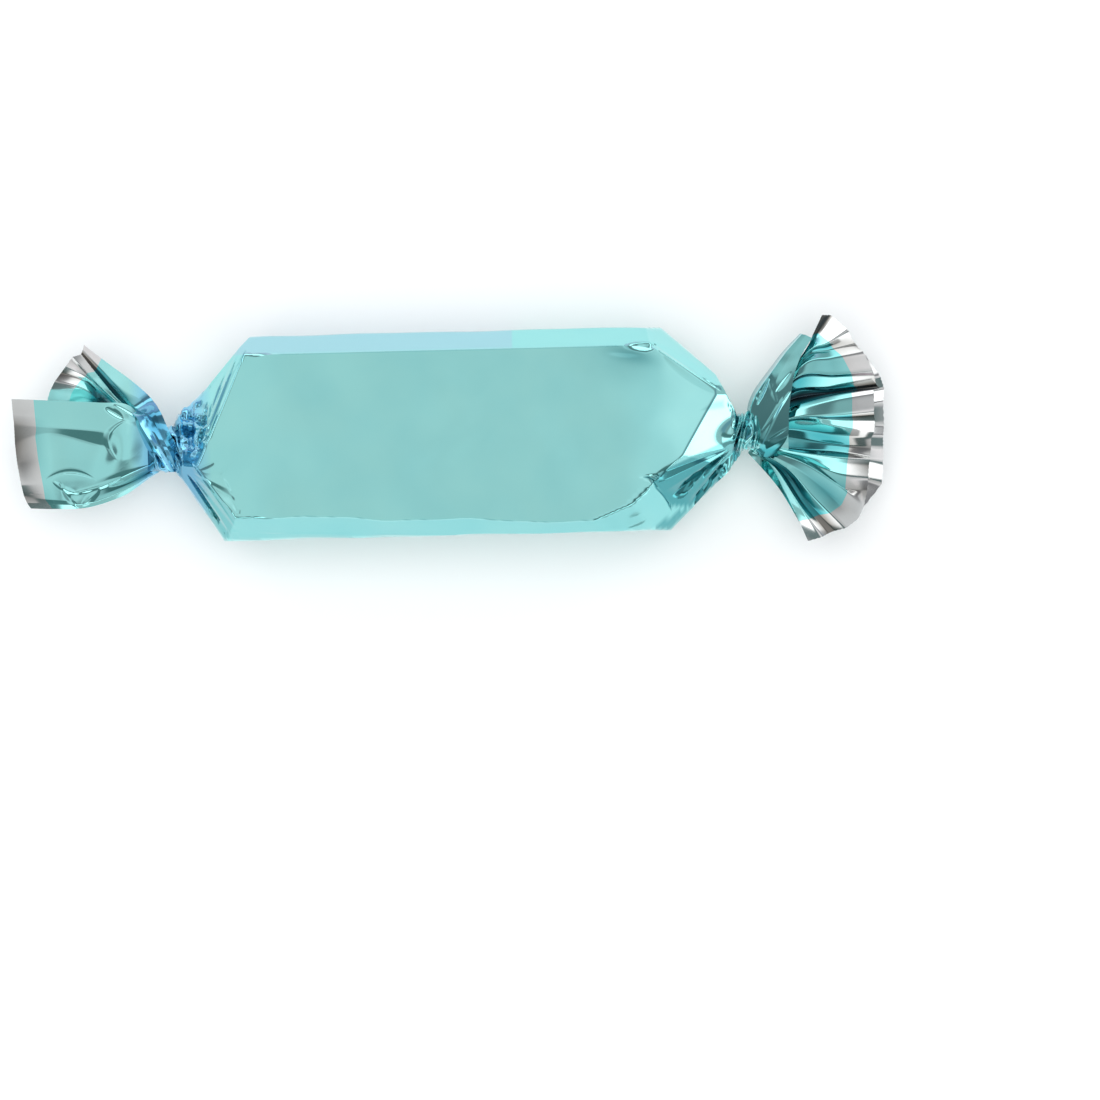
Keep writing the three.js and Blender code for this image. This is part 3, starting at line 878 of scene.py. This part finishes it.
FRONT_FAN_FOLDS = [
    # each fold from the twist over the collar's edge to the rim, from the fan's top to its bottom; a point's
    # fourth number, where given, is painted shade
    ((768, 400, 7.2), (804, 352, 7.8, 0.6), (814, 332, 7.9, 1.3), (822, 315, 8.0, 1.5)),
    ((768, 402, 7.2), (806, 350, 7.3, 0.8), (819, 331, 7.5, 1.3), (830, 315, 7.45, 1.4)),
    ((767, 403, 7.2), (806, 351, 7.4), (821, 333, 7.6), (833, 317, 7.6)),
    ((767, 404, 7.3), (806, 353, 7.6), (828, 343, 8.2), (848, 330, 8.6)),
    ((767, 405, 7.2), (805, 356, 7.4, 0.7), (829, 346.5, 7.8, 0.9), (852, 339, 8.1, 0.3)),
    ((767, 406, 7.2), (804, 358, 7.3, 0.3), (830, 350, 7.6, 0.5), (855, 344, 7.8, 0.6)),
    ((766, 408, 7.3), (802, 365, 7.9, 0.3), (832, 358, 8.13, 0.4), (864, 353, 8.26)),
    ((766, 411, 7.3), (799, 376, 8.0, 0.3), (835, 374.5, 8.3, 0.4), (873, 371, 8.4)),
    ((765, 413, 7.2), (798, 379, 7.6, 0.9), (836, 377, 7.95, 0.1), (874, 375, 8.0, 0.3)),
    ((765, 415, 7.1), (796, 389, 7.0, 0.8), (835, 388, 7.3), (876, 384, 7.4, 0.7)),
    ((764, 416, 7.0), (795, 392, 6.8, 1.1), (835, 390.5, 7.0, 0.8), (878, 386.5, 7.1, 0.9)),
    ((764, 417, 6.9), (794, 399, 6.5, 1.9), (835, 392.5, 6.9, 1.7), (880, 388, 7.1, 1.5)),
    ((764, 419, 7.3), (795, 405, 7.6, 1.2), (836, 395, 8.2, 0.5), (873, 389.5, 8.4)),
    ((763, 422, 7.3), (796, 410, 7.9, 0.2), (836, 400, 8.5), (874, 394, 8.6)),
    ((763, 425, 7.3), (797, 416.5, 8.2), (836, 415, 8.8), (874, 411, 8.9)),
    ((762, 426, 7.2), (797, 417.5, 8.1, 0.9), (836, 417.5, 8.65, 1.4), (874, 415, 8.7, 1.0)),
    ((762, 427, 7.2), (797, 418.5, 8.0, 0.2), (836, 420, 8.6), (875, 421, 8.5, 0.2)),
    ((762, 430, 7.0), (796, 420, 7.4, 0.4), (836, 426, 8.25), (874, 432, 7.8)),
    ((761, 433, 6.6), (789, 429, 6.4, 0.5), (836, 434, 7.3, 0.5), (871, 439, 7.6, 0.3)),
    ((760, 436, 6.6), (788, 438, 6.1, 0.6), (838, 445, 6.7, 0.7), (871, 448, 7.45, 0.6)),
    ((759, 440, 6.7), (789, 448, 6.2, 0.6), (836, 452, 7.0, 0.4), (870, 456, 7.5, 0.1)),
    ((758, 442, 6.9), (791, 451, 7.3), (836, 457, 7.9), (870, 459, 7.9)),
    ((758, 445, 6.9), (797, 455, 7.2, 0.8), (837, 462.5, 7.65, 0.1), (869, 465, 7.65, 0.9)),
    ((757, 446, 6.9), (799, 457, 7.0), (838, 474, 7.05), (868, 479, 7.0)),
    ((757, 447, 6.9), (800, 459, 6.8, 0.3), (841, 487, 7.0, 0.55), (867, 491, 7.35, 0.8)),
    ((756, 448, 6.9), (800, 461, 7.5, 0.3), (838, 484, 7.7, 0.3), (864, 506, 7.3)),
    ((756, 449, 6.9), (793, 466, 7.6, 0.35), (828, 494, 7.8, 0.8), (858, 519, 7.35, 0.1)),
    ((755, 450, 6.8), (788, 469, 7.6, 0.25), (815, 499, 7.6, 0.3), (846, 528, 7.4, 0.1)),
    ((754, 451, 6.7), (784, 470, 6.6, 1.1), (807, 501, 6.9, 1.2), (834, 531, 6.9, 1.0)),
    ((754, 452, 6.7), (780, 470, 6.7, 0.9), (803, 503, 6.9, 0.9), (829, 533, 6.9, 1.0)),
    ((753, 452, 6.7), (776, 469, 7.3), (799, 505, 7.5), (822, 537, 7.3)),
    ((752, 453, 6.6), (769, 463, 6.8, 0.6), (790, 502, 6.8), (808, 541, 6.7)),
]

BACK_FAN_FOLDS = [
    ((751, 412, 6.2), (800, 368, 5.2), (848, 335, 5.2)),
    ((752, 415, 6.4), (808, 380, 3.8), (866, 356, 3.8)),
    ((753, 418, 6.2), (814, 393, 4.8), (880, 376, 4.8)),
    ((754, 421, 6.4), (818, 403, 4.2), (884, 388, 4.3)),
    ((754, 424, 6.2), (820, 412, 4.9), (883, 402, 5.0)),
    ((754, 427, 6.4), (820, 424, 4.3), (884, 425, 4.4)),
    ((754, 430, 6.2), (820, 434, 4.8), (883, 436, 4.8)),
    ((754, 433, 6.4), (818, 443, 4.5), (883, 448, 4.45)),
    ((754, 436, 6.2), (816, 451, 4.8), (883, 462, 4.6)),
    ((753, 440, 6.4), (812, 464, 3.6), (882, 484, 3.5)),
    ((752, 445, 6.2), (806, 478, 5.0), (856, 516, 4.8)),
    ((750, 449, 6.4), (795, 488, 4.4), (833, 528, 3.6)),
    ((748, 453, 6.2), (780, 490, 5.4), (809, 540, 5.2)),
]

WING_FOLDS = [
    # from the twist over the strap to the cut end, from the right edge to the left; a point's fourth number,
    # where given, is painted shade
    ((184, 471, 7.2, 0.5), (177, 449, 8.9, 0.5), (166, 424, 8.7, 0.6), (160, 411, 8.5, 0.6), (150, 397, 7.4),
     (132, 381, 7.3), (113, 367, 7.2), (84, 345, 7.1)),
    ((181, 471, 7.8, 0.6), (172, 449, 9.5, 0.5), (160, 425, 9.0, 0.8), (154, 412, 8.7, 0.7), (144, 402, 7.5),
     (124.5, 391, 7.4), (106.3, 373.8, 7.32), (83, 349.5, 7.16)),
    ((178, 472, 8.1, 0.7), (168, 449, 9.8, 0.5), (156, 426, 9.2, 0.9), (148, 414, 8.8, 0.8), (136, 408, 7.5),
     (122, 393, 7.4, 1.4), (105, 374, 7.34, 1.2), (82, 351.5, 7.2, 0.8)),
    ((176, 472, 8.0, 0.8), (164, 449, 9.6, 0.6), (152, 427, 9.1, 0.8), (146, 415, 8.6, 0.8),
     (132, 409, 7.2, 0.8), (117, 395, 7.0, 1.8), (101, 376, 7.0, 1.7), (81.5, 353, 7.1, 1.2)),
    ((174, 472, 8.2, 0.5), (161, 449, 9.7, 0.4), (149, 427, 9.0, 0.7), (143, 416, 8.6, 0.7),
     (131, 410, 7.3, 0.4), (115.5, 397, 7.3), (99.5, 378, 7.3), (81, 354.5, 7.3)),
    ((171, 472, 8.0), (158, 449, 9.4), (145, 428, 8.9), (139, 417, 8.4), (128, 409, 7.3), (113, 398, 7.4),
     (95, 381, 7.35), (72.5, 357, 7.1)),
    ((169, 472, 8.1), (155, 449, 9.3), (142, 428, 8.8), (136, 417, 8.2), (125, 409, 7.1),
     (111.5, 399, 6.8, 0.7), (93.5, 382, 6.85, 0.5), (71, 359, 6.8, 0.3)),
    ((166, 471, 7.9), (152, 450, 8.7, 0.3), (140, 430, 8.2), (134, 419, 7.6, 0.3), (122, 409, 6.8),
     (109, 400, 6.7, 1.4), (88, 379, 6.9), (66, 366, 6.86)),
    ((164, 471, 7.6), (150, 450, 8.1), (138, 430, 7.6), (132, 419, 7.2), (119, 409, 6.4),
     (106, 401, 6.4, 1.9), (84, 381, 6.6, 0.6), (61, 373, 6.5, 1.1)),
    ((162, 471, 7.2), (148, 450, 7.5), (136, 430, 6.9), (130, 420, 6.6), (117, 410, 6.1),
     (102, 403, 6.2, 2.0), (84, 389, 7.0), (55, 381, 6.7, 0.4)),
    ((160, 470, 6.9), (147, 450, 6.8), (134, 431, 6.0), (128, 421, 5.8), (115, 411, 5.5),
     (98, 406, 5.9, 1.6), (82, 396, 6.6), (50, 391, 6.3)),
    ((158, 469, 6.6), (145, 451, 6.2), (132, 432, 5.4), (126, 423, 5.2), (112, 413, 5.0),
     (95, 411, 5.3, 0.8), (78, 410, 5.5), (45, 409, 5.6)),
]

PANEL_FOLDS = [
    # from the twist to the cut end, from the upper edge to the lower; a point's fourth number, where given,
    # is painted shade
    ((160, 440, 7.0), (146, 424, 7.4), (128, 405, 7.8), (98, 402.5, 8.08), (50, 400.5, 8.2),
     (11.5, 399, 8.3)),
    ((161, 445, 7.1), (146, 432, 7.5), (126, 422, 7.95), (98, 419, 8.1), (50, 417, 8.2),
     (13, 415, 8.25, 0.1)),
    ((162, 449, 7.1), (145, 438, 7.5), (124, 434, 7.95), (100, 431, 8.05), (50, 427, 8.12),
     (14, 424, 8.1, 0.8)),
    ((162, 453, 7.0), (144, 446, 7.45), (122, 452, 7.88), (100, 446, 7.6), (50, 434, 7.95),
     (15, 444, 7.6, 1.0)),
    ((163, 458, 7.0), (144, 455, 7.4), (121, 460, 7.82), (96, 460, 7.52), (50, 458, 7.7),
     (17, 462, 7.2, 0.8)),
    ((163, 463, 6.9, 0.5), (144, 466, 7.25), (121, 473, 7.5), (88, 480, 7.35), (50, 482, 7.45),
     (21, 484, 7.1)),
    ((163, 467, 6.7, 1.0), (146, 475, 6.85, 1.2), (122, 487, 6.95, 0.6), (88, 499, 7.05),
     (52, 500, 7.15, 0.2), (24, 496, 6.8, 0.8)),
    ((162, 469, 6.5, 0.5), (147, 478, 6.9, 0.1), (123, 491, 6.9), (88, 503.5, 6.95), (53, 504, 7.0),
     (27, 503, 6.75, 0.5)),
    ((162, 470, 6.4), (147, 480, 6.4), (123, 496, 6.4), (88, 507.5, 6.6), (54, 509, 6.8), (31, 508.5, 6.6)),
]


def add_tail(name, folds, rows, columns_per_fold, rounding, margin=MARGIN, painted_tone=0.0):
    """A tail of pleated film. Its part with lacquer may be painted darker, as shade, by the given amount."""
    grid, dark, silver_rows = sheet_from_folds(folds, rows, columns_per_fold, rounding, margin)
    dark[:-silver_rows] += painted_tone
    return add_sheet(name, grid, FOIL, silver_rows, dark)


PANEL_CREASES = [
    # start, end, width, height, the width on the right where it differs, and how far the line bows out
    ((119, 461), (128, 420), 0.6, 0.09, 0.25, 1.5),
    ((106, 408), (124, 419), 0.5, -0.17, 0.3),
    ((114, 405), (140, 421), 0.3, 0.13, 0.6),
    ((46, 480), (96, 480), 0.35, -0.09, 0.35, 0.85),
    ((52, 480), (82, 494), 0.3, 0.09, 0.3, -0.3),
    ((122, 477), (74, 493), 0.35, 0.12, 0.35, 0.25),
    ((78, 508), (60, 482), 0.35, -0.09, 0.35, 0.2),
    ((82, 506), (100, 489), 0.5, 0.12),
    ((108, 486), (156, 464), 0.4, -0.2, 0.4, -0.2),
]
PANEL_DENT = ((72, 496), 0.9, 0.6, 40, -0.1)


def add_panel():
    """The flat tail on the left."""
    grid, dark, silver_rows = sheet_from_folds(PANEL_FOLDS, 200, 22, 6)
    relief = Relief(grid, KNOT_HEIGHT)
    for crease in PANEL_CREASES:
        relief.crease(*crease)
    relief.dent(*PANEL_DENT)
    return add_sheet("panel", grid, FOIL, silver_rows, dark)


COLLAR_LINES = [
    # its outer edge, where it rolls over, its middle and its edge over the fan, from the bottom to the top;
    # each point's fourth number is painted shade
    ((758, 456, 6.4, 1.2), (750, 440, 6.6, 0.9), (747, 412, 6.6, 0.7), (753, 392, 6.6, 0.9),
     (770, 368, 6.6, 1.0), (784, 350, 6.9, 1.0), (800, 333.5, 7.3, 0.9)),
    ((759, 454, 7.1, 1.0), (753, 439, 7.7, 0.6), (750, 413, 7.9, 0.3), (756, 394, 8.1, 0.3),
     (773, 370, 8.3, 0.4), (786, 352, 8.15, 0.25), (802, 334, 8.0, 0.25)),
    ((764, 457, 7.4, 1.1), (766, 441, 8.15, 0.6), (766, 416, 8.4, 0.3), (770, 395, 8.5, 0.2),
     (781, 371, 8.42, 0.15), (792, 353, 8.22, 0.15), (806, 335, 8.06, 0.15)),
    ((772, 458, 7.7, 1.1), (787, 438, 8.85, 0.5), (789, 414, 9.1, 0.3), (791, 394, 9.0, 0.2),
     (795, 372, 8.54, 0.15), (802, 354, 8.3, 0.15), (812, 338, 8.14, 0.15)),
]
COLLAR_COLUMNS = 160
COLLAR_ROWS = 91
COLLAR_CREASES = [
    ((777, 404), (764, 364), 0.5, -0.04),
    ((760, 448), (784, 396), 0.5, -0.05, 0.25),
    ((762, 453), (790, 434), 0.5, 0.05),
    ((761, 432), (790, 391), 0.15, -0.06, 0.3),
    ((757, 405), (769, 379), 0.2, -0.1),
    ((768, 441), (789, 427), 0.15, -0.05),
    ((776, 392), (791, 372), 0.2, 0.06, 0.4),
]
COLLAR_CRUMPLE = ((758, 394), 0.5, 0.9, 0.9, 0.1, 8)


def add_collar():
    """The strip of film that wraps the root of the right tail."""
    lines = np.stack([spline(fold_points(line), np.linspace(0, 1, COLLAR_COLUMNS)) for line in COLLAR_LINES])
    grid = straight(lines, np.linspace(0, 1, COLLAR_ROWS)).transpose(1, 0, 2)
    grid = soften(grid, 2).transpose(1, 0, 2)
    grid, dark = grid[..., :3].copy(), grid[..., 3]
    relief = Relief(grid, KNOT_HEIGHT + 1)
    relief.crumple(*COLLAR_CRUMPLE)
    for crease in COLLAR_CREASES:
        relief.crease(*crease)
    # painted shade from the collar's lines, and the right tail's painted shade over it
    return add_sheet("collar", grid, [TEAL], dark=dark + RIGHT_TAIL_SHADE)


# ---- table, light and camera


TABLE_HALF = 1000.0
TABLE_GREY = 0.9
TABLE_ROUGHNESS = 0.9
TABLE_SPECULAR = 0.1
LAMP_HEIGHT = 1.2  # the lamp's sizes are in metres, and its power in watts
LAMP_SIZE = 1.6
LAMP_POWER = 12
WALLS = (0.62, 0.62, 0.62)
CEILING = (0.4, 0.4, 0.41)
OVERHEAD = (0.7, 0.7, 0.7)
CEILING_FROM = (0.64, 0.76)  # heights on the dome, whose radius is 1, at which one turns into the next
OVERHEAD_FROM = (0.965, 0.985)


def add_floor():
    """The white table."""
    corners = TABLE_HALF * np.array([[-1, -1, 0], [1, -1, 0], [1, 1, 0], [-1, 1, 0]])
    material, _, shader = new_material("table")
    shader.inputs["Base Color"].default_value = (TABLE_GREY, TABLE_GREY, TABLE_GREY, 1)
    shader.inputs["Roughness"].default_value = TABLE_ROUGHNESS
    shader.inputs["Specular IOR Level"].default_value = TABLE_SPECULAR
    floor = add_mesh("floor", corners, np.array([[0, 1, 2, 3]]), [material])


def direction(azimuth, elevation):
    """A unit vector, with azimuth anticlockwise from +X and elevation above the table, in degrees."""
    a, e = math.radians(azimuth), math.radians(elevation)
    return Vector((math.cos(e) * math.cos(a), math.cos(e) * math.sin(a), math.sin(e)))


def along_vector(tree, source, vector):
    """How far a direction points along a vector."""
    return node(tree, "VectorMath", "Value", {0: source, 1: vector}, operation="DOT_PRODUCT")


def soft_panel(tree, source, behind, azimuth, elevation, width, height, colour, edge):
    """Hangs a soft-edged panel of light, or a dark card, in the room round the table."""
    middle = direction(azimuth, elevation)
    up = direction(azimuth, elevation + 90)
    inside = spread(tree, along_vector(tree, source, middle), 0, 0.1)
    for axis, angle in ((up.cross(middle), width), (up, height)):
        half = math.sin(math.radians(angle / 2))
        offset = along_vector(tree, source, axis)
        distance = node(tree, "Math", 0, {0: offset}, operation="ABSOLUTE")
        inside = multiply(tree, inside, spread(tree, distance, half - edge, half + edge, 1, 0))
    return mix_colours(tree, inside, behind, colour)


ROOM = [
    # panels and cards: azimuth, elevation, width and height in degrees, brightness, softness of the edge
    (180, 76, 50, 22, (0.8, 0.8, 0.8), 0.09),
    (0, 77, 46, 20, (0.82, 0.83, 0.84), 0.06),
    (52, 79, 26, 8, (1.0, 0.96, 0.97), 0.03),
    (88, 60, 70, 14, (0.3, 0.3, 0.31), 0.07),
    (157, 62, 44, 14, (0.25, 0.26, 0.27), 0.04),
    (-90, 54, 100, 18, (0.16, 0.22, 0.22), 0.03),
    (0, 34, 46, 26, (0.3, 0.36, 0.42), 0.04),
    (95, 37, 125, 20, (1.7, 1.7, 1.7), 0.03),
    (-98, 33, 96, 18, (1.7, 1.7, 1.7), 0.03),
    (168, 24, 60, 24, (0.38, 0.47, 0.62), 0.09),
    (148, 44, 28, 16, (2.0, 2.0, 2.0), 0.04),
    (105, 8, 90, 16, (1.0, 0.78, 0.92), 0.05),
    (-27, 1, 34, 15, (2.4, 2.4, 2.4), 0.04),
]


def add_room():
    """The studio: a grey dome with soft panels and dark cards, which the film mirrors."""
    world = bpy.data.worlds.new("room")
    bpy.context.scene.world = world
    world.use_nodes = True
    tree = world.node_tree
    background = next(n for n in tree.nodes if n.type == "BACKGROUND")
    source = node(tree, "TexCoord", "Generated", {})
    height = along_vector(tree, source, (0, 0, 1))
    light = mix_colours(tree, spread(tree, height, *CEILING_FROM), WALLS, CEILING)
    light = mix_colours(tree, spread(tree, height, *OVERHEAD_FROM), light, OVERHEAD)
    for panel in ROOM:
        light = soft_panel(tree, source, light, *panel)
    tree.links.new(light, background.inputs["Color"])


def add_fill():
    """A large lamp overhead that lights the table and isn't mirrored in the film."""
    lamp = bpy.data.lights.new("fill", "AREA")
    lamp.shape = "SQUARE"
    lamp.size = LAMP_SIZE
    lamp.energy = LAMP_POWER
    holder = bpy.data.objects.new("fill", lamp)
    holder.location = (0, 0, LAMP_HEIGHT)
    holder.visible_glossy = False
    holder.visible_camera = False
    bpy.context.scene.collection.objects.link(holder)


def add_camera():
    """The camera looks straight down, as the photograph's did."""
    camera = bpy.data.cameras.new("camera")
    camera.lens = LENS
    camera.sensor_width = SENSOR
    camera.clip_start = 0.01
    holder = bpy.data.objects.new("camera", camera)
    holder.location = (*(CAMERA_OVER * MM), (KNOT_HEIGHT + DISTANCE) * MM)
    holder.rotation_euler = (0, 0, -ROLL)
    bpy.context.scene.collection.objects.link(holder)
    bpy.context.scene.camera = holder


def main():
    pieces = [
        add_body(),
        # the front fan carries half the right tail's painted shade
        add_tail("front_fan", FRONT_FAN_FOLDS, 110, 12, 2, painted_tone=RIGHT_TAIL_SHADE / 2),
        add_tail("back_fan", BACK_FAN_FOLDS, 110, 14, 3, BACK_MARGIN),
        add_collar(),
        add_tail("wing", WING_FOLDS, 160, 16, 2),
        add_panel(),
    ]
    for piece in pieces:
        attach(piece, "root")
        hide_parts("wrapped_candy")
    add_floor()
    add_room()
    add_fill()
    add_camera()
    bpy.context.scene.view_settings.view_transform = "Standard"


main()
